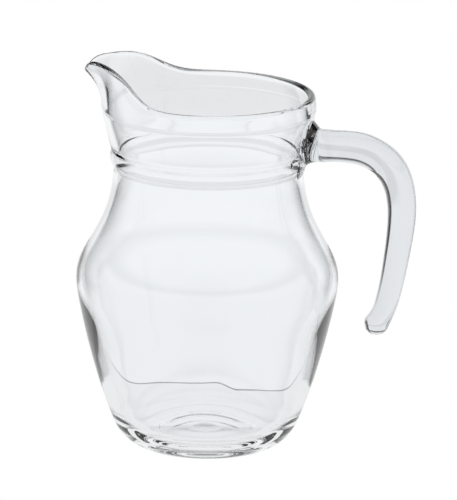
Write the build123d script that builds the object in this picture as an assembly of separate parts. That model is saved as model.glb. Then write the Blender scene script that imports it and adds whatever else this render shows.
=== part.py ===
from build123d import *
import os
from math import atan2, copysign, cos, exp, radians, sin

# Pressed and blown glass pouring jug with a separately drawn glass handle.
# Millimetres, +Z up, base on z = 0, jug axis on Z.
# The spout points along -X and the handle along +X.

# Base and heel
STAND_INNER_RADIUS = 24.0  # flat standing ring under the base
STAND_OUTER_RADIUS = 26.6
HEEL_RADIUS = 19.8  # rounding from the standing ring into the wall
HEEL_END_ANGLE = 19.6  # lean of the wall where the heel ends, degrees
PUSH_UP_HEIGHT = 3.6  # hollow under the base
PUSH_UP_EDGE_SLOPE = 26.0  # steepness of the hollow where it meets the ring, degrees

# Outer wall between heel and neck, (radius, height)
BELLY_OUTER = [(50.6, 27.5), (53.8, 38.0), (57.1, 50.0), (60.3, 63.5), (62.8, 76.0), (63.55, 83.5)]
SHOULDER_OUTER = [(62.4, 90.8), (58.2, 99.3), (52.1, 110.1), (48.1, 120.9), (46.1, 131.4)]
NECK_OUTER_RADIUS = 45.6

# Inside of the jug, from the middle of the floor upwards, (radius, height)
FLOOR_INNER = [(0.0, 10.4), (16.0, 9.6), (28.0, 8.3), (36.0, 10.4), (40.6, 15.6)]
WALL_INNER = [(43.0, 21.5), (45.6, 29.0), (49.7, 41.0), (54.4, 56.0), (58.7, 70.0), (61.0, 83.5)]
NECK_INNER = [(59.8, 90.6), (55.6, 99.2), (49.2, 110.1), (45.1, 120.9), (42.7, 133.0), (42.75, 141.0)]

# Ring around the neck
RING_BOTTOM = 138.2
RING_MIDDLE = 142.0
RING_TOP = 146.2
RING_RADIUS = 47.4
RING_TOP_RADIUS = 46.9

# Upper neck, lip band and spout: middle of the wall, (radius, height)
MOUTH_START = 150.0
LIP_SEAM = 165.8
LIP_CENTRE = 172.5
UPPER_MIDDLE = [(46.0, 150.0), (47.2, 155.3), (48.3, 160.6), (49.1, 165.8)]
LIP_MIDDLE = [(49.1, 165.8), (49.2, 167.5), (49.2, 169.2), (49.1, 170.9), (48.95, 172.5)]
UPPER_WALL = 3.6
LIP_WALL = 3.8
BAND_STEP = 0.3  # how far the lip band stands proud of the neck
BAND_STEP_RISE = 0.5
MOUTH_INNER_RADIUS = 44.15
MOUTH_OUTER_RADIUS = 47.75
MOUTH_LEAN = 12.0  # lean of the upper neck, degrees

# Spout: how far the lip rises and moves outwards, by angle from the spout line
SPOUT_RISE = 14.7
SPOUT_RISE_WIDTH = 51.2
SPOUT_RISE_POWER = 3.6
TIP_DROOP = 4.6
TIP_DROOP_WIDTH = 5.2
TIP_REACH = 11.0
TIP_WIDTH = 17.5
TIP_POWER = 2.2
TIP_THINNING = 0.25  # how much thinner the lip is at the spout tip
TIP_THINNING_WIDTH = 22.0
SIDE_PINCH = 3.4
SIDE_PINCH_ANGLE = 45.0
SIDE_PINCH_WIDTH = 20.5
SEAM_SHARE = 0.14  # part of the reach already present at the lip seam
FLARE_POWER = 2.1
SPOUT_HALF_ANGLE = 90.0
SPOUT_STEP = 7.5

# Handle stations along its middle line: x, z, half thickness, half width
HANDLE_STATIONS = [
    (43.0, 148.4, 16.6, 14.0),
    (46.0, 150.8, 13.8, 13.0),
    (48.2, 152.8, 11.2, 12.1),
    (50.6, 153.0, 9.8, 11.1),
    (53.2, 151.9, 8.2, 10.2),
    (60.0, 151.9, 7.7, 8.9),
    (70.6, 151.7, 7.7, 8.7),
    (79.8, 149.4, 7.7, 8.5),
    (86.6, 145.0, 7.6, 8.4),
    (91.4, 138.0, 7.4, 8.3),
    (94.1, 128.6, 7.1, 8.1),
    (94.3, 114.0, 6.6, 7.8),
    (92.3, 98.0, 6.1, 7.4),
    (90.3, 86.0, 5.8, 7.1),
    (88.5, 77.8, 5.6, 6.9),
    (86.4, 71.2, 5.5, 6.7),
    (84.2, 66.2, 5.4, 6.4),
]
ROOT_STATIONS = 5  # stations at the neck whose sections stay upright
SECTION_SQUARENESS = 2.1  # 2 is an ellipse, more is squarer
SECTION_POINTS = 16
TOE_RADIUS = 6.0
TOE_CENTRE = (83.5, 65.8)
TOE_WIDEN = 1.08

FUSE_TOLERANCE = 0.001


def smooth_step(t):
    return t * t * (3.0 - 2.0 * t)


def rise_at(angle):
    hump = SPOUT_RISE * exp(-((abs(angle) / SPOUT_RISE_WIDTH) ** SPOUT_RISE_POWER))
    return hump - TIP_DROOP * exp(-((angle / TIP_DROOP_WIDTH) ** 2))


def reach_at(angle):
    tip = TIP_REACH / (1.0 + (angle / TIP_WIDTH) ** 2) ** TIP_POWER
    pinch = SIDE_PINCH * exp(-(((abs(angle) - SIDE_PINCH_ANGLE) / SIDE_PINCH_WIDTH) ** 2))
    return tip - pinch


def upper_point(point, angle):
    """Move a mid-wall point below the lip seam out towards the spout."""
    t = (point[1] - MOUTH_START) / (LIP_SEAM - MOUTH_START)
    return (point[0] + SEAM_SHARE * smooth_step(t) * reach_at(angle), point[1])


def lip_point(point, angle):
    """Move a mid-wall point of the lip band up and out into the spout."""
    u = (point[1] - LIP_SEAM) / (LIP_CENTRE - LIP_SEAM)
    share = SEAM_SHARE + (1.0 - SEAM_SHARE) * u**FLARE_POWER
    return (point[0] + share * reach_at(angle), point[1] + u * rise_at(angle))


def direction_between(a, b):
    lean = atan2(b[0] - a[0], b[1] - a[1])
    return (sin(lean), cos(lean))


def offset_line(points, distances):
    """Points shifted sideways from a line; positive is away from the jug axis."""
    shifted = []
    last = len(points) - 1
    for i, point in enumerate(points):
        along = direction_between(points[max(i - 1, 0)], points[min(i + 1, last)])
        shifted.append((point[0] + along[1] * distances[i], point[1] - along[0] * distances[i]))
    return shifted


def mouth_section(angle):
    """Closed outline of the upper wall in the radial plane at an angle from the spout."""
    neck = [upper_point(p, angle) for p in UPPER_MIDDLE]
    lip = [lip_point(p, angle) for p in LIP_MIDDLE]
    middle = neck + lip[1:]
    seam = len(neck) - 1
    thinner = 1.0 - TIP_THINNING * exp(-((angle / TIP_THINNING_WIDTH) ** 2))
    half = []
    for i in range(len(middle)):
        share = i / (len(middle) - 1)
        half.append((UPPER_WALL + (LIP_WALL * thinner - UPPER_WALL) * share) / 2.0)
    outer = offset_line(middle, half)
    inner = offset_line(middle, [-h for h in half])
    step = [BAND_STEP * (1.0 - (i / (len(lip) - 1)) ** 3) for i in range(len(lip))]
    band = offset_line(middle, [half[i] + step[max(i - seam, 0)] for i in range(len(middle))])[seam:]
    band[0] = (band[0][0], band[0][1] + BAND_STEP_RISE)
    outer[0] = (MOUTH_OUTER_RADIUS, MOUTH_START)
    inner[0] = (MOUTH_INNER_RADIUS, MOUTH_START)
    end_along = direction_between(middle[-2], middle[-1])
    cap_top = (middle[-1][0] + end_along[0] * half[-1], middle[-1][1] + end_along[1] * half[-1])
    start_along = (sin(radians(MOUTH_LEAN)), cos(radians(MOUTH_LEAN)))
    neck_end = direction_between(outer[seam - 1], outer[seam])
    band_start = direction_between(band[0], band[1])
    turn = radians(angle)

    def out(p):
        """Turn a (radius, height) pair to its place around the jug."""
        return Vector(-p[0] * cos(turn), -p[0] * sin(turn), p[1])

    neck_points = [out(p) for p in outer[: seam + 1]]
    band_points = [out(p) for p in band]
    inner_points = [out(p) for p in reversed(inner)]
    outer_edge = Spline(neck_points, tangents=[out(start_along), out(neck_end)])
    step_edge = Line(out(outer[seam]), out(band[0]))
    band_edge = Spline(band_points, tangents=[out(band_start), out(end_along)])
    cap_edge = ThreePointArc(out(band[-1]), out(cap_top), out(inner[-1]))
    inner_edge = Spline(inner_points, tangents=[-out(end_along), -out(start_along)])
    joint_edge = Line(out(inner[0]), out(outer[0]))
    return Wire([outer_edge, step_edge, band_edge, cap_edge, inner_edge, joint_edge])


def revolved(lines):
    """Full turn about Z of a closed outline drawn in the XZ plane."""
    return revolve(make_face(lines), axis=Axis.Z)


def heel_end():
    lean = radians(HEEL_END_ANGLE)
    return (STAND_OUTER_RADIUS + HEEL_RADIUS * cos(lean), HEEL_RADIUS * (1.0 - sin(lean)))


def xz(points):
    return [Vector(p[0], 0, p[1]) for p in points]


def outer_lines():
    """Outline of the lower jug from the push-up under the base to the upper neck."""
    lean = radians(HEEL_END_ANGLE)
    heel_middle = radians(HEEL_END_ANGLE + (90.0 - HEEL_END_ANGLE) / 2.0)
    heel = [
        (STAND_OUTER_RADIUS, 0.0),
        (STAND_OUTER_RADIUS + HEEL_RADIUS * cos(heel_middle), HEEL_RADIUS * (1.0 - sin(heel_middle))),
        heel_end(),
    ]
    push_up = xz([(0.0, PUSH_UP_HEIGHT), (STAND_INNER_RADIUS, 0.0)])
    wall = xz([heel_end()] + BELLY_OUTER + SHOULDER_OUTER + [(NECK_OUTER_RADIUS, RING_BOTTOM)])
    ring = xz([(NECK_OUTER_RADIUS, RING_BOTTOM), (RING_RADIUS, RING_MIDDLE), (RING_TOP_RADIUS, RING_TOP)])
    slope = radians(PUSH_UP_EDGE_SLOPE)
    return [
        Spline(push_up, tangents=[Vector(1, 0, 0), Vector(cos(slope), 0, -sin(slope))]),
        Line(*xz([(STAND_INNER_RADIUS, 0.0), (STAND_OUTER_RADIUS, 0.0)])),
        ThreePointArc(*xz(heel)),
        Spline(wall, tangents=[Vector(sin(lean), 0, cos(lean)), Vector(0, 0, 1)]),
        ThreePointArc(*ring),
        Line(*xz([(RING_TOP_RADIUS, RING_TOP), (MOUTH_OUTER_RADIUS, MOUTH_START)])),
    ]


def inner_line():
    """Inside of the lower jug from the middle of the floor to the upper neck."""
    lean = radians(MOUTH_LEAN)
    points = FLOOR_INNER + WALL_INNER + NECK_INNER + [(MOUTH_INNER_RADIUS, MOUTH_START)]
    return Spline(xz(points), tangents=[Vector(1, 0, 0), Vector(sin(lean), 0, cos(lean))])


def lower_jug():
    axis_edge = Line(*xz([(0.0, FLOOR_INNER[0][1]), (0.0, PUSH_UP_HEIGHT)]))
    top_edge = Line(*xz([(MOUTH_OUTER_RADIUS, MOUTH_START), (MOUTH_INNER_RADIUS, MOUTH_START)]))
    return revolved(outer_lines() + [top_edge, inner_line(), axis_edge])


def mouth():
    """Upper neck and lip: a plain half turn at the handle side and a lofted spout half."""
    plain = revolve(make_face(mouth_section(SPOUT_HALF_ANGLE)), axis=Axis.Z, revolution_arc=180)
    count = int(2 * SPOUT_HALF_ANGLE / SPOUT_STEP)
    angles = [-SPOUT_HALF_ANGLE + i * SPOUT_STEP for i in range(count + 1)]
    spout = Solid.make_loft([mouth_section(a) for a in angles])
    return plain, spout


def jug_body():
    plain, spout = mouth()
    return lower_jug().fuse(plain, spout, tol=FUSE_TOLERANCE)


def handle_section(x, z, along, half_thickness, half_width):
    """Rounded section square to the handle's middle line."""
    corners = []
    for i in range(SECTION_POINTS):
        turn = radians(360.0 * i / SECTION_POINTS)
        across = copysign(abs(cos(turn)) ** (2.0 / SECTION_SQUARENESS), cos(turn))
        side = copysign(abs(sin(turn)) ** (2.0 / SECTION_SQUARENESS), sin(turn))
        reach = across * half_thickness
        corners.append(Vector(x + along[1] * reach, side * half_width, z - along[0] * reach))
    return Wire([Spline(corners, periodic=True)])


def handle_bar():
    sections = []
    last = len(HANDLE_STATIONS) - 1
    for i, (x, z, half_thickness, half_width) in enumerate(HANDLE_STATIONS):
        before = HANDLE_STATIONS[max(i - 1, 0)]
        after = HANDLE_STATIONS[min(i + 1, last)]
        along = direction_between(before[:2], after[:2])
        if i < ROOT_STATIONS:
            along = (1.0, 0.0)
        sections.append(handle_section(x, z, along, half_thickness, half_width))
    return Solid.make_loft(sections)


def handle(body):
    """The handle cut to lie against the neck, the ring and the upper neck of the body."""
    toe = Pos(TOE_CENTRE[0], 0, TOE_CENTRE[1]) * scale(Sphere(TOE_RADIUS), by=(1.0, TOE_WIDEN, 1.0))
    outside = (handle_bar() + toe) - body
    return max(outside.solids(), key=lambda solid: solid.volume)


body = jug_body()
parts = {"jug_body": body, "handle": handle(body)}
os.makedirs("parts", exist_ok=True)
for name, shape in parts.items():
    export_step(shape, f"parts/{name}.step")
    print(name, round(shape.volume / 1000.0, 1), "cm3", shape.is_valid, shape.bounding_box())
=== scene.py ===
import math
import bpy
import bmesh
from mathutils import Matrix, Vector


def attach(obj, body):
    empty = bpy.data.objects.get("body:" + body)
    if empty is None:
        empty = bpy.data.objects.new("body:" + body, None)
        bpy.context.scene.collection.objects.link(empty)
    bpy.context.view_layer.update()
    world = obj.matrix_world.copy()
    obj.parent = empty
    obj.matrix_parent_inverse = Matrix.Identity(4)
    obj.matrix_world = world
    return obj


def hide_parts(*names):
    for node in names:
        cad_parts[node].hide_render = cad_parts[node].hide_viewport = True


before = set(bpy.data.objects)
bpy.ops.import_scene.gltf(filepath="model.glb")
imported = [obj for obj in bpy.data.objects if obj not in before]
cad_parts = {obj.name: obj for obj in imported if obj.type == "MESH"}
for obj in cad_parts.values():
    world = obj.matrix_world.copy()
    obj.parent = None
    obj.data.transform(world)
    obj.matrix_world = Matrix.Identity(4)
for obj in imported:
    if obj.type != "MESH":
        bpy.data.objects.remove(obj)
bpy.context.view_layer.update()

mm = 0.001
weldDistance = 0.002 * mm  # corners closer than this are one
waveDetail = 1.5
waveTop = 0.8  # the waves' noise stays below this, so they only go inwards


def smoothRows(rows, steps):
    # passes an evenly bending line through rows of numbers, steps pieces between each pair
    last = len(rows) - 1
    gap = [max(math.dist(rows[i][:2], rows[i + 1][:2]), 0.001) for i in range(last)]
    slopes = []
    for k in range(len(rows[0])):
        v = [row[k] for row in rows]
        diagonal, right = [2.0], [3 * (v[1] - v[0]) / gap[0]]
        upper = [1.0]
        for i in range(1, last):
            low, high = 1 / gap[i - 1], 1 / gap[i]
            share = low / diagonal[i - 1]
            diagonal.append(2 * (low + high) - share * upper[i - 1])
            upper.append(high)
            pull = (v[i] - v[i - 1]) * low ** 2 + (v[i + 1] - v[i]) * high ** 2
            right.append(3 * pull - share * right[i - 1])
        share = 1.0 / diagonal[-1]
        diagonal.append(2.0 - share * upper[-1])
        right.append(3 * (v[last] - v[last - 1]) / gap[-1] - share * right[-1])
        slope = [0.0] * (last + 1)
        slope[last] = right[last] / diagonal[last]
        for i in range(last - 1, -1, -1):
            slope[i] = (right[i] - upper[i] * slope[i + 1]) / diagonal[i]
        slopes.append(slope)
    line = []
    for i in range(last):
        for s in range(steps):
            t = s / steps
            h1 = 2 * t ** 3 - 3 * t ** 2 + 1
            h2 = (t ** 3 - 2 * t ** 2 + t) * gap[i]
            h3 = 3 * t ** 2 - 2 * t ** 3
            h4 = (t ** 3 - t ** 2) * gap[i]
            line.append(tuple(
                h1 * rows[i][k] + h2 * slopes[k][i] + h3 * rows[i + 1][k] + h4 * slopes[k][i + 1]
                for k in range(len(rows[0]))))
    line.append(tuple(rows[-1]))
    return line


def fairLine(line, passes):
    # evens out small bumps in a line of points, its ends stay where they are
    for _ in range(passes):
        inner = [tuple(0.25 * a[k] + 0.5 * b[k] + 0.25 * c[k] for k in range(len(b)))
                 for a, b, c in zip(line, line[1:], line[2:])]
        line = [line[0]] + inner + [line[-1]]
    return line


def hostMesh(name, points, floats=None, vectors=None):
    # a bare row of points that carries the numbers a node tree reads
    mesh = bpy.data.meshes.new(name)
    mesh.from_pydata(points, [(i, i + 1) for i in range(len(points) - 1)], [])
    for key, values in (floats or {}).items():
        layer = mesh.attributes.new(key, "FLOAT", "POINT")
        layer.data.foreach_set("value", values)
    for key, values in (vectors or {}).items():
        layer = mesh.attributes.new(key, "FLOAT_VECTOR", "POINT")
        layer.data.foreach_set("vector", [v for row in values for v in row])
    piece = bpy.data.objects.new(name, mesh)
    bpy.context.scene.collection.objects.link(piece)
    return piece


def newTree(name, inputs):
    # inputs: name -> (socket type, default)
    tree = bpy.data.node_groups.new(name, "GeometryNodeTree")
    for label, (kind, value) in inputs.items():
        socket = tree.interface.new_socket(label, in_out="INPUT", socket_type=kind)
        if value is not None:
            socket.default_value = value
    return tree


def addMath(tree, operation, a, b=None, c=None):
    node = tree.nodes.new("ShaderNodeMath")
    node.operation = operation
    for socket, value in zip(node.inputs, (a, b, c)):
        if value is None:
            continue
        if isinstance(value, (int, float)):
            socket.default_value = value
        else:
            tree.links.new(value, socket)
    return node.outputs[0]


def mathIn(tree):
    # short way to chain maths in one tree
    def m(operation, a, b=None, c=None):
        return addMath(tree, operation, a, b, c)
    return m


def smoothShare(m, t):
    # t from 0 to 1 with a soft start and end
    return m("MULTIPLY", m("MULTIPLY", t, t), m("SUBTRACT", 3.0, m("MULTIPLY", 2.0, t)))


def bell(m, value, width):
    # 1 in the middle, falling off to both sides
    t = m("DIVIDE", value, width)
    return m("EXPONENT", m("MULTIPLY", -1.0, m("MULTIPLY", t, t)))


def addVector(tree, operation, a, b=None):
    node = tree.nodes.new("ShaderNodeVectorMath")
    node.operation = operation
    for socket, value in zip(node.inputs, (a, b)):
        if value is not None:
            tree.links.new(value, socket)
    return node.outputs["Vector"]


def splitVector(tree, vector):
    node = tree.nodes.new("ShaderNodeSeparateXYZ")
    tree.links.new(vector, node.inputs[0])
    return node.outputs


def joinVector(tree, x, y, z):
    node = tree.nodes.new("ShaderNodeCombineXYZ")
    for socket, value in zip(node.inputs, (x, y, z)):
        if isinstance(value, (int, float)):
            socket.default_value = value
        else:
            tree.links.new(value, socket)
    return node.outputs[0]


def bakeNodes(piece, tree, settings):
    # runs the tree on the piece and leaves a plain mesh
    modifier = piece.modifiers.new(tree.name, "NODES")
    modifier.node_group = tree
    for item in tree.interface.items_tree:
        if item.item_type == "SOCKET" and item.in_out == "INPUT" and item.name in settings:
            modifier[item.identifier] = settings[item.name]
    evaluated = piece.evaluated_get(bpy.context.evaluated_depsgraph_get())
    mesh = bpy.data.meshes.new_from_object(evaluated)
    piece.modifiers.clear()
    piece.data = mesh


def gridOver(tree, columns, rows):
    # a sheet of columns x rows corners, with the column and row number of each corner
    grid = tree.nodes.new("GeometryNodeMeshGrid")
    tree.links.new(columns, grid.inputs["Vertices X"])
    tree.links.new(rows, grid.inputs["Vertices Y"])
    index = tree.nodes.new("GeometryNodeInputIndex").outputs[0]
    column = addMath(tree, "FLOOR", addMath(tree, "DIVIDE", addMath(tree, "ADD", index, 0.5), rows))
    row = addMath(tree, "SUBTRACT", index, addMath(tree, "MULTIPLY", column, rows))
    return grid.outputs["Mesh"], column, row


def readRow(tree, geometry, name, kind, row):
    # the number that row of the host mesh carries under this name
    attribute = tree.nodes.new("GeometryNodeInputNamedAttribute")
    attribute.data_type = kind
    attribute.inputs["Name"].default_value = name
    sample = tree.nodes.new("GeometryNodeSampleIndex")
    sample.data_type = kind
    sample.domain = "POINT"
    tree.links.new(geometry, sample.inputs["Geometry"])
    tree.links.new(attribute.outputs["Attribute"], sample.inputs["Value"])
    tree.links.new(row, sample.inputs["Index"])
    return sample.outputs["Value"]


def finishTree(tree, mesh, position, material):
    place = tree.nodes.new("GeometryNodeSetPosition")
    tree.links.new(mesh, place.inputs["Geometry"])
    tree.links.new(position, place.inputs["Position"])
    weld = tree.nodes.new("GeometryNodeMergeByDistance")
    weld.inputs["Distance"].default_value = weldDistance
    tree.links.new(place.outputs[0], weld.inputs["Geometry"])
    smooth = tree.nodes.new("GeometryNodeSetShadeSmooth")
    tree.links.new(weld.outputs[0], smooth.inputs["Geometry"])
    real = tree.nodes.new("GeometryNodeRealizeInstances")
    tree.links.new(smooth.outputs[0], real.inputs["Geometry"])
    paint = tree.nodes.new("GeometryNodeSetMaterial")
    paint.inputs["Material"].default_value = material
    tree.links.new(real.outputs[0], paint.inputs["Geometry"])
    tree.interface.new_socket("Geometry", in_out="OUTPUT", socket_type="NodeSocketGeometry")
    out = tree.nodes.new("NodeGroupOutput")
    tree.links.new(paint.outputs[0], out.inputs[0])


def wobble(tree, position, radial, height, size, seed, amount):
    # slow uneven waves that hand-finished glass has, along the given direction
    noise = tree.nodes.new("ShaderNodeTexNoise")
    noise.noise_dimensions = "4D"
    noise.inputs["Detail"].default_value = waveDetail
    tree.links.new(position, noise.inputs["Vector"])
    tree.links.new(seed, noise.inputs["W"])
    tree.links.new(addMath(tree, "DIVIDE", 1.0, size), noise.inputs["Scale"])
    push = addMath(tree, "SUBTRACT", noise.outputs[0], waveTop)
    push = addMath(tree, "MULTIPLY", addMath(tree, "MULTIPLY", push, height), amount)
    scale = tree.nodes.new("ShaderNodeVectorMath")
    scale.operation = "SCALE"
    tree.links.new(radial, scale.inputs[0])
    tree.links.new(push, scale.inputs["Scale"])
    return addVector(tree, "ADD", position, scale.outputs[0])


glassSettings = {
    "tint": (0.978, 0.988, 0.996, 1.0),
    "ior": 1.51,
    "barTint": (0.83, 0.848, 0.868, 1.0),  # the thick bar of the handle swallows more light
    "roughLow": 0.0,
    "roughHigh": 0.035,
    "smudgeSize": 90.0,
    "smudgeDetail": 3.0,
    "smudgeFrom": 0.55,
    "smudgeTo": 0.75,
    "rippleSize": 55.0,
    "rippleDetail": 2.0,
    "rippleHeight": 0.012,
    "rippleDepth": 0.001,
}


def clearGlass(name, s, tint):
    # blown glass: clear, with faint smudges and slow ripples in the surface
    material = bpy.data.materials.new(name)
    material.use_nodes = True
    tree = material.node_tree
    shader = tree.nodes["Principled BSDF"]
    shader.inputs["Base Color"].default_value = tint
    shader.inputs["Transmission Weight"].default_value = 1.0
    shader.inputs["IOR"].default_value = s["ior"]
    place = tree.nodes.new("ShaderNodeTexCoord").outputs["Object"]
    smudge = tree.nodes.new("ShaderNodeTexNoise")
    smudge.inputs["Scale"].default_value = s["smudgeSize"]
    smudge.inputs["Detail"].default_value = s["smudgeDetail"]
    tree.links.new(place, smudge.inputs["Vector"])
    spread = tree.nodes.new("ShaderNodeMapRange")
    spread.inputs["From Min"].default_value = s["smudgeFrom"]
    spread.inputs["From Max"].default_value = s["smudgeTo"]
    spread.inputs["To Min"].default_value = s["roughLow"]
    spread.inputs["To Max"].default_value = s["roughHigh"]
    tree.links.new(smudge.outputs[0], spread.inputs["Value"])
    tree.links.new(spread.outputs[0], shader.inputs["Roughness"])
    ripple = tree.nodes.new("ShaderNodeTexNoise")
    ripple.inputs["Scale"].default_value = s["rippleSize"]
    ripple.inputs["Detail"].default_value = s["rippleDetail"]
    tree.links.new(place, ripple.inputs["Vector"])
    bump = tree.nodes.new("ShaderNodeBump")
    bump.inputs["Strength"].default_value = s["rippleHeight"]
    bump.inputs["Distance"].default_value = s["rippleDepth"]
    tree.links.new(ripple.outputs[0], bump.inputs["Height"])
    tree.links.new(bump.outputs[0], shader.inputs["Normal"])
    return material


def fusedGlass(name):
    # where hot handle and neck became one glass there is no surface to see
    material = bpy.data.materials.new(name)
    material.use_nodes = True
    tree = material.node_tree
    tree.nodes.clear()
    through = tree.nodes.new("ShaderNodeBsdfTransparent")
    out = tree.nodes.new("ShaderNodeOutputMaterial")
    tree.links.new(through.outputs[0], out.inputs["Surface"])
    return material


jugGlass = clearGlass("jugGlass", glassSettings, glassSettings["tint"])
handleGlass = clearGlass("handleGlass", glassSettings, glassSettings["barTint"])
fusedJoint = fusedGlass("fusedJoint")
print("glass ready")


jugSize = {
    "around": 240,
    "standInner": 24.0, "standOuter": 26.6, "pushUp": 3.6, "pushUpSlope": 26.0,
    "heelRadius": 19.8, "heelLean": 19.6,
    "wallOuter": [(50.6, 27.5), (53.8, 38.0), (57.1, 50.0), (60.3, 63.5), (62.8, 76.0), (63.55, 83.5),
                  (62.4, 90.8), (58.2, 99.3), (52.1, 110.1), (48.1, 120.9), (46.1, 131.4), (45.6, 138.2)],
    "floorInner": [(0.0, 10.4), (16.0, 9.6), (28.0, 8.3), (36.0, 10.4), (40.6, 15.6)],
    "wallInner": [(43.0, 21.5), (45.6, 29.0), (49.7, 41.0), (54.4, 56.0), (58.7, 70.0), (61.0, 83.5),
                  (59.8, 90.6), (55.6, 99.2), (49.2, 110.1), (45.1, 120.9), (42.7, 133.0), (42.75, 141.0)],
    "ringBottom": 138.2, "ringMiddle": 142.0, "ringTop": 146.2, "ringRadius": 47.4, "ringTopRadius": 46.9,
    "neckMiddle": [(46.0, 150.0), (47.2, 155.3), (48.3, 160.6), (49.1, 165.8)],
    "lipMiddle": [(49.1, 165.8), (49.2, 167.5), (49.2, 169.2), (49.1, 170.9), (48.95, 172.5)],
    "neckInnerFoot": (44.24, 150.37), "neckLean": 12.0, "lipBottom": 165.0, "nearby": 0.4,
    "neckWall": 3.6, "lipWall": 3.8, "bandStep": 0.3, "bandStepRise": 0.5,
    "arcSteps": 12, "heelSteps": 16, "fairPasses": 12,
    "waveHeight": 0.22, "waveSize": 34.0, "waveStart": 30.0, "waveFade": 12.0, "seed": 3.7, "insideSeed": 5.0,
}

spoutSize = {
    "Rise": 14.7 * mm, "Rise Width": 51.2, "Rise Power": 3.6,
    "Droop": 4.6 * mm, "Droop Width": 5.2,
    "Reach": 11.0 * mm, "Tip Width": 17.5, "Tip Power": 2.2,
    "Pinch": 3.4 * mm, "Pinch Angle": 45.0, "Pinch Width": 20.5,
    "Seam Share": 0.14, "Flare Power": 2.1,
    "Mouth Start": 150.0 * mm, "Lip Seam": 165.8 * mm, "Lip Centre": 172.5 * mm,
    "Thinning": 0.25, "Thinning Width": 22.0,
}


def arcRows(a, b, c, count):
    # points on the circle through three (radius, height) points
    ax, ay, bx, by, cx, cy = *a, *b, *c
    d = 2 * (ax * (by - cy) + bx * (cy - ay) + cx * (ay - by))
    aa, bb, cc = ax ** 2 + ay ** 2, bx ** 2 + by ** 2, cx ** 2 + cy ** 2
    ux = (aa * (by - cy) + bb * (cy - ay) + cc * (ay - by)) / d
    uy = (aa * (cx - bx) + bb * (ax - cx) + cc * (bx - ax)) / d
    r = math.hypot(ax - ux, ay - uy)
    start = math.atan2(ay - uy, ax - ux)
    end = math.atan2(cy - uy, cx - ux)
    turns = [start + (end - start) * i / count for i in range(count + 1)]
    return [(ux + r * math.cos(turn), uy + r * math.sin(turn)) for turn in turns]


def wallRows(s):
    # one trip round the cut wall, from under the base over the lip to the middle of the floor
    # each row: middle point, offset out, offset up, skin (0 outside, 1 inside), lip share
    rows = []

    def plain(points, skin):
        for p in points:
            if not rows or math.dist(rows[-1][0], p) > 0.01 or rows[-1][1] or rows[-1][2]:
                rows.append((p, 0.0, 0.0, skin, 0.0))

    slope = math.tan(math.radians(s["pushUpSlope"]))
    dome = []
    edge = slope * s["standInner"]
    for i in range(s["arcSteps"] + 1):  # hollow under the base, level in the middle
        t = i / s["arcSteps"]
        drop = (edge - 2 * s["pushUp"]) * t ** 3 + (3 * s["pushUp"] - edge) * t ** 2
        dome.append((s["standInner"] * t, s["pushUp"] - drop))
    plain(dome, 0.0)
    plain([((s["standInner"] + s["standOuter"]) / 2, 0.0), (s["standOuter"], 0.0)], 0.0)
    lean = math.radians(s["heelLean"])
    heel = [(s["standOuter"] + s["heelRadius"] * math.sin(a), s["heelRadius"] * (1 - math.cos(a)))
            for a in [(math.pi / 2 - lean) * i / s["heelSteps"] for i in range(s["heelSteps"] + 1)]]
    plain(heel, 0.0)
    plain(fairLine(smoothRows([heel[-1]] + s["wallOuter"], 6), s["fairPasses"]), 0.0)
    ringFoot = (s["wallOuter"][-1][0], s["ringBottom"])
    ringMiddle, ringTop = (s["ringRadius"], s["ringMiddle"]), (s["ringTopRadius"], s["ringTop"])
    plain(arcRows(ringFoot, ringMiddle, ringTop, s["arcSteps"]), 0.0)
    middle = smoothRows(s["neckMiddle"], 4)
    lip = smoothRows(s["lipMiddle"], 3)[1:]
    seam = len(middle) - 1
    middle += lip
    last = len(middle) - 1
    half = [(s["neckWall"] + (s["lipWall"] - s["neckWall"]) * i / last) / 2 for i in range(last + 1)]
    for i in range(seam + 1):
        rows.append((middle[i], half[i], 0.0, 0.0, i / last))
    for i in range(seam, last):
        u = (i - seam) / (last - seam)
        rise = s["bandStepRise"] if i == seam else 0.0
        rows.append((middle[i], half[i] + s["bandStep"] * (1 - u ** 3), rise, 0.0, i / last))
    for i in range(s["arcSteps"] + 1):  # rounded lip
        t = i / s["arcSteps"]
        out, up = half[last] * math.cos(math.pi * t), half[last] * math.sin(math.pi * t)
        rows.append((middle[last], out, up, t, 1.0))
    for i in range(last - 1, -1, -1):
        rows.append((middle[i], -half[i], 0.0, 1.0, i / last))
    wall = [s["neckInnerFoot"]] + s["wallInner"][::-1] + s["floorInner"][::-1]
    plain(fairLine(smoothRows(wall, 6), s["fairPasses"])[1:], 1.0)
    return rows


def rowNeighbours(rows, s):
    # the middle line's points just before and after each row, for the direction of the wall there
    before, after = [], []
    for middle in [row[0] for row in rows]:
        lean = 0.0 if middle[1] > s["lipBottom"] else math.radians(s["neckLean"])
        x, z = s["nearby"] * math.sin(lean), s["nearby"] * math.cos(lean)
        before.append((middle[0] - x, 0.0, middle[1] - z))
        after.append((middle[0] + x, 0.0, middle[1] + z))
    return before, after


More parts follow.
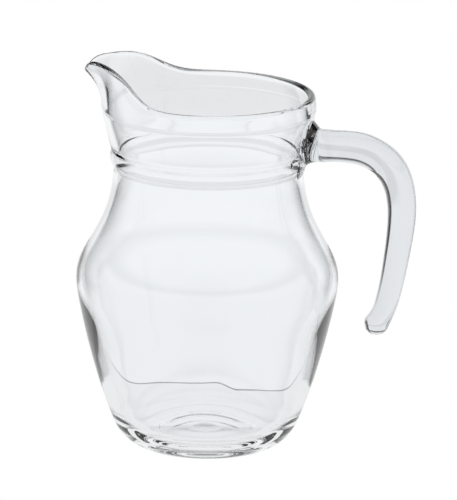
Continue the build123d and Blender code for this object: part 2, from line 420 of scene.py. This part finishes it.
def spoutTree():
    # moves a point of the wall's middle line out and up towards the spout, and thins the lip there
    sizes = {label: ("NodeSocketFloat", value) for label, value in spoutSize.items()}
    tree = newTree("spoutShape", {
        "Middle": ("NodeSocketVector", None), "Angle": ("NodeSocketFloat", 0.0), **sizes})
    tree.interface.new_socket("Moved", in_out="OUTPUT", socket_type="NodeSocketVector")
    tree.interface.new_socket("Thickness", in_out="OUTPUT", socket_type="NodeSocketFloat")
    g = tree.nodes.new("NodeGroupInput").outputs
    m = mathIn(tree)
    side = m("ABSOLUTE", g["Angle"])
    wideness = m("POWER", m("DIVIDE", side, g["Rise Width"]), g["Rise Power"])
    hump = m("MULTIPLY", g["Rise"], m("EXPONENT", m("MULTIPLY", -1.0, wideness)))
    droop = m("MULTIPLY", g["Droop"], bell(m, side, g["Droop Width"]))
    rise = m("SUBTRACT", hump, droop)
    wide = m("DIVIDE", side, g["Tip Width"])
    tip = m("DIVIDE", g["Reach"], m("POWER", m("ADD", 1.0, m("MULTIPLY", wide, wide)), g["Tip Power"]))
    pinch = m("MULTIPLY", g["Pinch"], bell(m, m("SUBTRACT", side, g["Pinch Angle"]), g["Pinch Width"]))
    reach = m("SUBTRACT", tip, pinch)
    x, _, z = splitVector(tree, g["Middle"])
    t = m("DIVIDE", m("SUBTRACT", z, g["Mouth Start"]), m("SUBTRACT", g["Lip Seam"], g["Mouth Start"]))
    t = m("MINIMUM", m("MAXIMUM", t, 0.0), 1.0)
    low = m("MULTIPLY", g["Seam Share"], smoothShare(m, t))
    u = m("DIVIDE", m("SUBTRACT", z, g["Lip Seam"]), m("SUBTRACT", g["Lip Centre"], g["Lip Seam"]))
    u = m("MAXIMUM", u, 0.0)
    high = m("MULTIPLY", m("SUBTRACT", 1.0, g["Seam Share"]), m("POWER", u, g["Flare Power"]))
    newX = m("ADD", x, m("MULTIPLY", m("ADD", low, high), reach))
    newZ = m("ADD", z, m("MULTIPLY", u, rise))
    thinning = m("MULTIPLY", g["Thinning"], bell(m, side, g["Thinning Width"]))
    out = tree.nodes.new("NodeGroupOutput")
    tree.links.new(joinVector(tree, newX, 0.0, newZ), out.inputs["Moved"])
    tree.links.new(m("SUBTRACT", 1.0, thinning), out.inputs["Thickness"])
    return tree


def jugTree(spout, material):
    sizes = {label: ("NodeSocketFloat", value) for label, value in spoutSize.items()}
    tree = newTree("jugWall", {
        "Geometry": ("NodeSocketGeometry", None), "Around": ("NodeSocketInt", 96),
        "Rows": ("NodeSocketInt", 10), "Wave Height": ("NodeSocketFloat", 0.0),
        "Wave Size": ("NodeSocketFloat", 0.03), "Wave Start": ("NodeSocketFloat", 0.0),
        "Wave Fade": ("NodeSocketFloat", 0.01), "Seed": ("NodeSocketFloat", 0.0),
        "Inside Seed": ("NodeSocketFloat", 0.0), **sizes})
    g = tree.nodes.new("NodeGroupInput").outputs
    m = mathIn(tree)
    mesh, column, row = gridOver(tree, m("ADD", g["Around"], 1), g["Rows"])
    turn = m("DIVIDE", column, g["Around"])
    angle = m("SUBTRACT", m("MULTIPLY", turn, 360.0), 180.0)
    moved = []
    for name in ("middle", "before", "after"):
        group = tree.nodes.new("GeometryNodeGroup")
        group.node_tree = spout
        tree.links.new(readRow(tree, g["Geometry"], name, "FLOAT_VECTOR", row), group.inputs["Middle"])
        tree.links.new(angle, group.inputs["Angle"])
        for label in spoutSize:
            tree.links.new(g[label], group.inputs[label])
        moved.append(group.outputs["Moved"])
        thickness = group.outputs["Thickness"]
    along = addVector(tree, "NORMALIZE", addVector(tree, "SUBTRACT", moved[2], moved[1]))
    ax, _, az = splitVector(tree, along)
    px, _, pz = splitVector(tree, moved[0])
    lip = readRow(tree, g["Geometry"], "lip", "FLOAT", row)
    thin = m("ADD", 1.0, m("MULTIPLY", lip, m("SUBTRACT", thickness, 1.0)))
    out = m("MULTIPLY", readRow(tree, g["Geometry"], "out", "FLOAT", row), thin)
    up = m("MULTIPLY", readRow(tree, g["Geometry"], "up", "FLOAT", row), thin)
    radius = m("ADD", px, m("ADD", m("MULTIPLY", az, out), m("MULTIPLY", ax, up)))
    height = m("ADD", pz, m("SUBTRACT", m("MULTIPLY", az, up), m("MULTIPLY", ax, out)))
    radians = m("MULTIPLY", turn, 2 * math.pi)
    cx, sx = m("COSINE", radians), m("SINE", radians)
    # the turn starts at the handle, so the spout is half way round
    position = joinVector(tree, m("MULTIPLY", radius, cx), m("MULTIPLY", radius, sx), height)
    radial = joinVector(tree, cx, sx, 0.0)
    skin = readRow(tree, g["Geometry"], "skin", "FLOAT", row)
    seed = m("ADD", g["Seed"], m("MULTIPLY", skin, g["Inside Seed"]))
    # no waves where the jug stands or on the axis
    fade = m("DIVIDE", m("SUBTRACT", radius, g["Wave Start"]), g["Wave Fade"])
    fade = m("MINIMUM", 1.0, m("MAXIMUM", 0.0, fade))
    position = wobble(tree, position, radial, g["Wave Height"], g["Wave Size"], seed, fade)
    finishTree(tree, mesh, position, material)
    return tree


def makeJug(s):
    rows = wallRows(s)
    before, after = rowNeighbours(rows, s)
    points = [(r[0][0] * mm, 0.0, r[0][1] * mm) for r in rows]
    host = hostMesh("jugBody", points,
                    floats={"out": [r[1] * mm for r in rows], "up": [r[2] * mm for r in rows],
                            "skin": [r[3] for r in rows], "lip": [r[4] for r in rows]},
                    vectors={"middle": points,
                             "before": [tuple(v * mm for v in p) for p in before],
                             "after": [tuple(v * mm for v in p) for p in after]})
    tree = jugTree(spoutTree(), jugGlass)
    bakeNodes(host, tree, {
        "Around": s["around"], "Rows": len(rows), "Wave Height": s["waveHeight"] * mm,
        "Wave Size": s["waveSize"] * mm, "Wave Start": s["waveStart"] * mm,
        "Wave Fade": s["waveFade"] * mm, "Seed": s["seed"], "Inside Seed": s["insideSeed"]})
    print("jug wall", len(rows), "rows", len(host.data.polygons), "faces")
    return host


jugBody = makeJug(jugSize)


handleSize = {
    "around": 64, "steps": 6, "squareness": 2.1,
    # ribs along the bar from inside the neck's wall: inner edge x, z, outer edge x, z, half width
    "ribs": [
        (44.6, 133.6, 48.6, 163.4, 13.4), (46.2, 137.5, 49.9, 163.8, 12.8), (48.1, 141.7, 50.6, 163.0, 12.1),
        (50.5, 143.2, 51.6, 161.9, 11.1), (53.2, 143.7, 53.4, 160.0, 10.2), (56.6, 143.95, 56.4, 159.65, 9.5),
        (60.28, 144.21, 59.9, 159.6, 8.9), (69.64, 144.06, 71.56, 159.34, 8.7),
        (76.83, 142.3, 82.77, 156.5, 8.5), (81.27, 139.58, 91.93, 150.42, 8.4),
        (84.67, 134.92, 98.13, 141.08, 8.3), (87.05, 127.75, 101.0, 129.45, 8.1),
        (87.71, 114.39, 100.85, 113.61, 7.8), (86.26, 98.86, 98.34, 97.14, 7.4),
        (84.6, 87.07, 96.0, 84.93, 7.1), (83.08, 79.23, 93.92, 76.37, 6.9), (81.24, 73.11, 91.56, 69.29, 6.7),
    ],
    "toeMiddle": (83.5, 65.8), "toeAlong": (-0.41, -0.912), "toeRadius": 6.0, "toeWiden": 1.08, "toeRows": 9,
    "waveHeight": 0.20, "waveSize": 16.0, "waveStart": 50.0, "waveFade": 10.0, "toeFade": 5.0, "seed": 8.2,
}


def handleRows(s):
    # all ribs with the round toe added
    (x, z), (ax, az), radius = s["toeMiddle"], s["toeAlong"], s["toeRadius"]
    rows = smoothRows(s["ribs"] + [(x + az * radius, z - ax * radius, x - az * radius, z + ax * radius,
                                    radius * s["toeWiden"])], s["steps"])
    for i in range(1, s["toeRows"] + 1):
        a = math.pi / 2 * i / s["toeRows"]
        reach, close = radius * math.sin(a), radius * math.cos(a)
        if i == s["toeRows"]:
            close = 0.0
        px, pz = x + ax * reach, z + az * reach
        rows.append((px + az * close, pz - ax * close, px - az * close, pz + ax * close,
                     close * s["toeWiden"]))
    return rows


def handleTree(material):
    tree = newTree("handleBar", {
        "Geometry": ("NodeSocketGeometry", None), "Around": ("NodeSocketInt", 32),
        "Rows": ("NodeSocketInt", 10), "Squareness": ("NodeSocketFloat", 2.0),
        "Wave Height": ("NodeSocketFloat", 0.0), "Wave Size": ("NodeSocketFloat", 0.02),
        "Wave Start": ("NodeSocketFloat", 0.0), "Wave Fade": ("NodeSocketFloat", 0.01),
        "Toe Fade": ("NodeSocketFloat", 0.005), "Seed": ("NodeSocketFloat", 0.0)})
    g = tree.nodes.new("NodeGroupInput").outputs
    m = mathIn(tree)
    mesh, column, row = gridOver(tree, m("ADD", g["Around"], 1), g["Rows"])
    turn = m("MULTIPLY", m("DIVIDE", column, g["Around"]), 2 * math.pi)
    power = m("DIVIDE", 2.0, g["Squareness"])
    cosine, sine = m("COSINE", turn), m("SINE", turn)
    across = m("MULTIPLY", m("SIGN", cosine), m("POWER", m("ABSOLUTE", cosine), power))
    aside = m("MULTIPLY", m("SIGN", sine), m("POWER", m("ABSOLUTE", sine), power))
    inner = splitVector(tree, readRow(tree, g["Geometry"], "inner", "FLOAT_VECTOR", row))
    outer = splitVector(tree, readRow(tree, g["Geometry"], "outer", "FLOAT_VECTOR", row))
    width = readRow(tree, g["Geometry"], "halfWidth", "FLOAT", row)
    share = m("ADD", 0.5, m("MULTIPLY", -0.5, across))
    x = m("ADD", inner[0], m("MULTIPLY", share, m("SUBTRACT", outer[0], inner[0])))
    z = m("ADD", inner[2], m("MULTIPLY", share, m("SUBTRACT", outer[2], inner[2])))
    position = joinVector(tree, x, m("MULTIPLY", width, aside), z)
    middle = joinVector(tree, m("MULTIPLY", 0.5, m("ADD", inner[0], outer[0])), 0.0,
                        m("MULTIPLY", 0.5, m("ADD", inner[2], outer[2])))
    outward = addVector(tree, "NORMALIZE", addVector(tree, "SUBTRACT", position, middle))
    # no waves at the neck or on the last of the toe
    fade = m("DIVIDE", m("SUBTRACT", x, g["Wave Start"]), g["Wave Fade"])
    fade = m("MINIMUM", 1.0, m("MAXIMUM", 0.0, fade))
    fade = m("MULTIPLY", fade, m("MINIMUM", 1.0, m("DIVIDE", width, g["Toe Fade"])))
    position = wobble(tree, position, outward, g["Wave Height"], g["Wave Size"], g["Seed"], fade)
    finishTree(tree, mesh, position, material)
    return tree


def makeHandle(s):
    rows = handleRows(s)
    inner = [(r[0] * mm, 0.0, r[1] * mm) for r in rows]
    outer = [(r[2] * mm, 0.0, r[3] * mm) for r in rows]
    middle = [tuple((a + b) / 2 for a, b in zip(p, q)) for p, q in zip(inner, outer)]
    host = hostMesh("jugHandle", middle, floats={"halfWidth": [r[4] * mm for r in rows]},
                    vectors={"inner": inner, "outer": outer})
    bakeNodes(host, handleTree(handleGlass), {
        "Around": s["around"], "Rows": len(rows), "Squareness": s["squareness"],
        "Wave Height": s["waveHeight"] * mm, "Wave Size": s["waveSize"] * mm,
        "Wave Start": s["waveStart"] * mm, "Wave Fade": s["waveFade"] * mm,
        "Toe Fade": s["toeFade"] * mm, "Seed": s["seed"]})
    print("handle", len(rows), "ribs", len(host.data.polygons), "faces")
    return host


jugHandle = makeHandle(handleSize)


def closeAndTurnOut(piece):
    # caps open ends, cuts the faces into triangles and points them all outwards
    bm = bmesh.new()
    bm.from_mesh(piece.data)
    bmesh.ops.remove_doubles(bm, verts=bm.verts, dist=weldDistance)
    bmesh.ops.dissolve_degenerate(bm, edges=bm.edges, dist=weldDistance / 2)
    holes = [e for e in bm.edges if e.is_boundary]
    if holes:
        bmesh.ops.holes_fill(bm, edges=holes, sides=0)
    bmesh.ops.triangulate(bm, faces=[face for face in bm.faces if len(face.verts) > 3])
    bmesh.ops.recalc_face_normals(bm, faces=bm.faces)
    bm.to_mesh(piece.data)
    openLeft = sum(1 for e in bm.edges if not e.is_manifold)
    volume = bm.calc_volume(signed=True)
    bm.free()
    print(piece.name, "open edges", openLeft, "volume cm3", round(volume * 1e6, 1))


closeAndTurnOut(jugBody)
closeAndTurnOut(jugHandle)


def combined(a, b, operation):
    # mesh of a joined with or cut by b, each face keeping the glass it came with
    helper = bpy.data.objects.new("joining", a.data.copy())
    bpy.context.scene.collection.objects.link(helper)
    modifier = helper.modifiers.new("join", "BOOLEAN")
    modifier.operation = operation
    modifier.solver = "EXACT"
    modifier.material_mode = "TRANSFER"
    modifier.object = b
    evaluated = helper.evaluated_get(bpy.context.evaluated_depsgraph_get())
    mesh = bpy.data.meshes.new_from_object(evaluated)
    bpy.data.objects.remove(helper)
    return mesh


def facesOf(mesh, glass):
    # corner positions of every face with this glass
    return [[tuple(mesh.vertices[i].co) for i in face.vertices]
            for face in mesh.polygons if mesh.materials[face.material_index] == glass]


def meshFrom(name, groups):
    # groups: (faces, material) -> one closed mesh with shared corners
    points, numbers, faces, marks = [], {}, [], []
    for slot, (group, _) in enumerate(groups):
        for corners in group:
            row = []
            for p in corners:
                key = tuple(round(c / (weldDistance / 5)) for c in p)
                if key not in numbers:
                    numbers[key] = len(points)
                    points.append(p)
                row.append(numbers[key])
            if len(set(row)) > 2:
                faces.append(row)
                marks.append(slot)
    mesh = bpy.data.meshes.new(name)
    mesh.from_pydata(points, [], faces)
    for _, material in groups:
        mesh.materials.append(material)
    mesh.polygons.foreach_set("material_index", marks)
    mesh.polygons.foreach_set("use_smooth", [True] * len(marks))
    return mesh


def sharpSeam(mesh):
    # keeps the shading crisp where two glasses meet
    slots = {}
    for face in mesh.polygons:
        for key in face.edge_keys:
            slots.setdefault(key, set()).add(face.material_index)
    layer = mesh.attributes.get("sharp_edge") or mesh.attributes.new("sharp_edge", "BOOLEAN", "EDGE")
    layer.data.foreach_set("value", [len(slots.get(edge.key, ())) > 1 for edge in mesh.edges])


def fuseHandle(body, handle):
    # cuts the bar to the neck and gives both pieces the same invisible patch where they are one glass
    joined = combined(body, handle, "UNION")
    cut = combined(handle, body, "DIFFERENCE")
    patch = facesOf(cut, jugGlass)
    turned = [corners[::-1] for corners in patch]
    bodyMesh = meshFrom("jugBody", [(facesOf(joined, jugGlass), jugGlass), (turned, fusedJoint)])
    handleMesh = meshFrom("jugHandle", [(facesOf(cut, handleGlass), handleGlass), (patch, fusedJoint)])
    sharpSeam(handleMesh)
    body.data, handle.data = bodyMesh, handleMesh
    print("joint patch", len(patch), "faces")


fuseHandle(jugBody, jugHandle)
closeAndTurnOut(jugBody)
closeAndTurnOut(jugHandle)
sharpSeam(jugHandle.data)

for node, piece in (("jug_body", jugBody), ("handle", jugHandle)):
    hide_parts(node)
    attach(piece, "root")

viewSettings = {
    "azimuth": 11.5, "cameraFar": 2.5, "cameraHeight": 0.7555, "aimHeight": 0.095,
    "aimRight": 0.0101, "aimUp": 0.0015, "roll": 0.8, "lens": 385.5, "sensor": 36.0,
}


def makeCamera(s):
    camera = bpy.data.objects.new("camera", bpy.data.cameras.new("camera"))
    bpy.context.scene.collection.objects.link(camera)
    a = math.radians(s["azimuth"])
    spot = Vector((s["cameraFar"] * math.sin(a), -s["cameraFar"] * math.cos(a), s["cameraHeight"]))
    middle = Vector((0, 0, s["aimHeight"]))
    back = (spot - middle).normalized()
    right = Vector((0, 0, 1)).cross(back).normalized()
    up = back.cross(right)
    target = middle + right * s["aimRight"] + up * s["aimUp"]
    turn = (target - spot).to_track_quat("-Z", "Y").to_matrix()
    turn = turn @ Matrix.Rotation(math.radians(s["roll"]), 3, "Z")
    camera.matrix_world = Matrix.Translation(spot) @ turn.to_4x4()
    camera.data.lens = s["lens"]
    camera.data.sensor_width = s["sensor"]
    camera.data.clip_end = 50.0
    bpy.context.scene.camera = camera


makeCamera(viewSettings)
bpy.context.scene.view_settings.view_transform = "Standard"
print("camera ready")

roomSettings = {
    "azimuth": 11.5,
    # the light behind the jug: where it ends at each side, how softly, and how wide the dark beside it is,
    # all in degrees
    "leftEdge": 32.0, "rightEdge": 32.0, "sideSoft": 2.0, "leftSpread": 40.0, "rightSpread": 24.0,
    "dark": 0.01, "topEdge": 18.0, "topDark": 0.04, "topSoft": 2.0, "topSpread": 12.0,
    "wallGlow": 0.92, "lightTone": (0.99, 0.995, 1.0),
    # the floor's painted light, in metres from the jug's axis: its glow fans out from fanStart in front of
    # the axis, and its painted dark sides begin at fanDark behind it; lift and fall are painted brighter and
    # darker bands
    "tableHalf": 6.0, "fanStart": 0.2, "fanDark": 0.13, "fanSoft": 0.1,
    "tableGlow": 0.85, "beyondGlow": 0.89,
    "lift": 0.06, "liftAt": 0.3, "liftSoft": 0.2, "fall": 0.15, "fallAt": 0.62, "fallSoft": 0.12,
    # a thin dark line of painted shade where a table's back edge would be, with a jog in it
    "shadeLineGlow": 0.25, "shadeLineWide": 0.0011, "shadeLineLeft": 0.078, "shadeLineRight": 0.066,
    "jogAt": 0.012, "jogSoft": 0.006,
    "bounces": 24, "mirrorBounces": 12,
}


def softStep(m, value, edge, soft):
    # 0 below the edge, 1 above it
    t = m("DIVIDE", m("SUBTRACT", value, edge - soft), 2 * soft)
    return smoothShare(m, m("MINIMUM", m("MAXIMUM", t, 0.0), 1.0))


def makeStudio(s):
    # a light wall behind the jug; round it the room is dark and grows lighter further off
    world = bpy.data.worlds.new("studio")
    bpy.context.scene.world = world
    world.use_nodes = True
    tree = world.node_tree
    m = mathIn(tree)
    way = tree.nodes.new("ShaderNodeTexCoord").outputs["Generated"]
    x, y, z = splitVector(tree, way)
    ahead, aside = turnedRoom(m, s, x, y)
    turn = m("MULTIPLY", m("ARCTAN2", aside, ahead), 180 / math.pi)
    height = m("MULTIPLY", m("ARCSINE", z), 180 / math.pi)
    sides = m("MULTIPLY", sideLight(m, s, turn), s["wallGlow"])
    over = m("SUBTRACT", height, s["topEdge"])
    light = m("MULTIPLY", sides, glowOutside(m, over, s["topSoft"], s["topSpread"], s["topDark"]))
    seen = tree.nodes.new("ShaderNodeLightPath").outputs["Is Camera Ray"]
    tree.links.new(m("MAXIMUM", light, seen), tree.nodes["Background"].inputs["Strength"])
    tree.links.new(coolLight(tree, m, s, seen), tree.nodes["Background"].inputs["Color"])


def turnedRoom(m, s, x, y):
    # the room's own directions: ahead is away from the viewer, aside to the right
    a = math.radians(s["azimuth"])
    ahead = m("SUBTRACT", m("MULTIPLY", y, math.cos(a)), m("MULTIPLY", x, math.sin(a)))
    aside = m("ADD", m("MULTIPLY", x, math.cos(a)), m("MULTIPLY", y, math.sin(a)))
    return ahead, aside


def coolLight(tree, m, s, seen):
    # a slightly cool white in the glass, plain white behind it
    return joinVector(tree, *[m("MAXIMUM", tone, seen) for tone in s["lightTone"]])


def glowOutside(m, outside, soft, spread, dark):
    # full light inside the edge, dark just outside it, full light again further off
    past = softStep(m, outside, 0.0, soft)
    far = m("MINIMUM", m("MAXIMUM", m("DIVIDE", outside, spread), 0.0), 1.0)
    around = m("ADD", dark, m("MULTIPLY", m("MULTIPLY", far, far), 1.0 - dark))
    return m("ADD", m("MULTIPLY", past, around), m("SUBTRACT", 1.0, past))


def sideLight(m, s, turn):
    # the dark stands left and right of the light, at these turns from straight ahead
    pastRight = m("SUBTRACT", turn, s["rightEdge"])
    pastLeft = m("SUBTRACT", m("MULTIPLY", turn, -1.0), s["leftEdge"])
    right = glowOutside(m, pastRight, s["sideSoft"], s["rightSpread"], s["dark"])
    left = glowOutside(m, pastLeft, s["sideSoft"], s["leftSpread"], s["dark"])
    return m("MULTIPLY", right, left)


def makeFloor(s):
    mesh = bpy.data.meshes.new("floor")
    h = s["tableHalf"]
    mesh.from_pydata([(-h, -h, 0), (h, -h, 0), (h, h, 0), (-h, h, 0)], [], [(0, 1, 2, 3)])
    floor = bpy.data.objects.new("floor", mesh)
    bpy.context.scene.collection.objects.link(floor)
    # the floor glows instead of being lit: its glow is painted light and shade, plain white to camera rays
    paper = bpy.data.materials.new("paleTable")
    paper.use_nodes = True
    tree = paper.node_tree
    tree.nodes.clear()
    m = mathIn(tree)
    x, y, _ = splitVector(tree, tree.nodes.new("ShaderNodeTexCoord").outputs["Object"])
    ahead, aside = turnedRoom(m, s, x, y)
    # painted shade: a thin dark line in the floor's glow where a table's back edge would be, with a small jog
    # in it
    jog = softStep(m, aside, s["jogAt"], s["jogSoft"])
    edge = m("ADD", s["shadeLineLeft"], m("MULTIPLY", jog, s["shadeLineRight"] - s["shadeLineLeft"]))
    off = m("SUBTRACT", ahead, edge)
    past = softStep(m, off, 0.0, s["shadeLineWide"])
    line = m("SUBTRACT", 1.0, softStep(m, m("ABSOLUTE", off), s["shadeLineWide"], s["shadeLineWide"] * 0.5))
    # painted light: the glow rises a little, then falls again, further behind the jug
    lift = m("MULTIPLY", softStep(m, ahead, s["liftAt"], s["liftSoft"]), s["lift"])
    fall = m("MULTIPLY", softStep(m, ahead, s["fallAt"], s["fallSoft"]), s["fall"])
    beyond = m("SUBTRACT", m("ADD", lift, s["beyondGlow"]), fall)
    glow = m("ADD", m("MULTIPLY", past, beyond), m("MULTIPLY", m("SUBTRACT", 1.0, past), s["tableGlow"]))
    glow = m("ADD", m("MULTIPLY", glow, m("SUBTRACT", 1.0, line)), m("MULTIPLY", line, s["shadeLineGlow"]))
    # the painted glow fans out from in front of the jug, and only behind the jug is it darkened at the sides
    # with painted shade
    turn = m("MULTIPLY", m("ARCTAN2", aside, m("ADD", ahead, s["fanStart"])), 180 / math.pi)
    behind = softStep(m, ahead, s["fanDark"], s["fanSoft"])
    shade = m("MULTIPLY", behind, m("SUBTRACT", 1.0, sideLight(m, s, turn)))
    glow = m("MULTIPLY", glow, m("SUBTRACT", 1.0, shade))
    # camera rays see plain white; all other rays see the painted glow
    seen = tree.nodes.new("ShaderNodeLightPath").outputs["Is Camera Ray"]
    light = tree.nodes.new("ShaderNodeEmission")
    tree.links.new(m("MAXIMUM", glow, seen), light.inputs["Strength"])
    tree.links.new(coolLight(tree, m, s, seen), light.inputs["Color"])
    out = tree.nodes.new("ShaderNodeOutputMaterial")
    tree.links.new(light.outputs[0], out.inputs["Surface"])
    mesh.materials.append(paper)


makeStudio(roomSettings)
makeFloor(roomSettings)
print("light and table ready")
cycles = bpy.context.scene.cycles
cycles.max_bounces = roomSettings["bounces"]
cycles.transmission_bounces = roomSettings["bounces"]
cycles.transparent_max_bounces = roomSettings["bounces"]
cycles.glossy_bounces = roomSettings["mirrorBounces"]
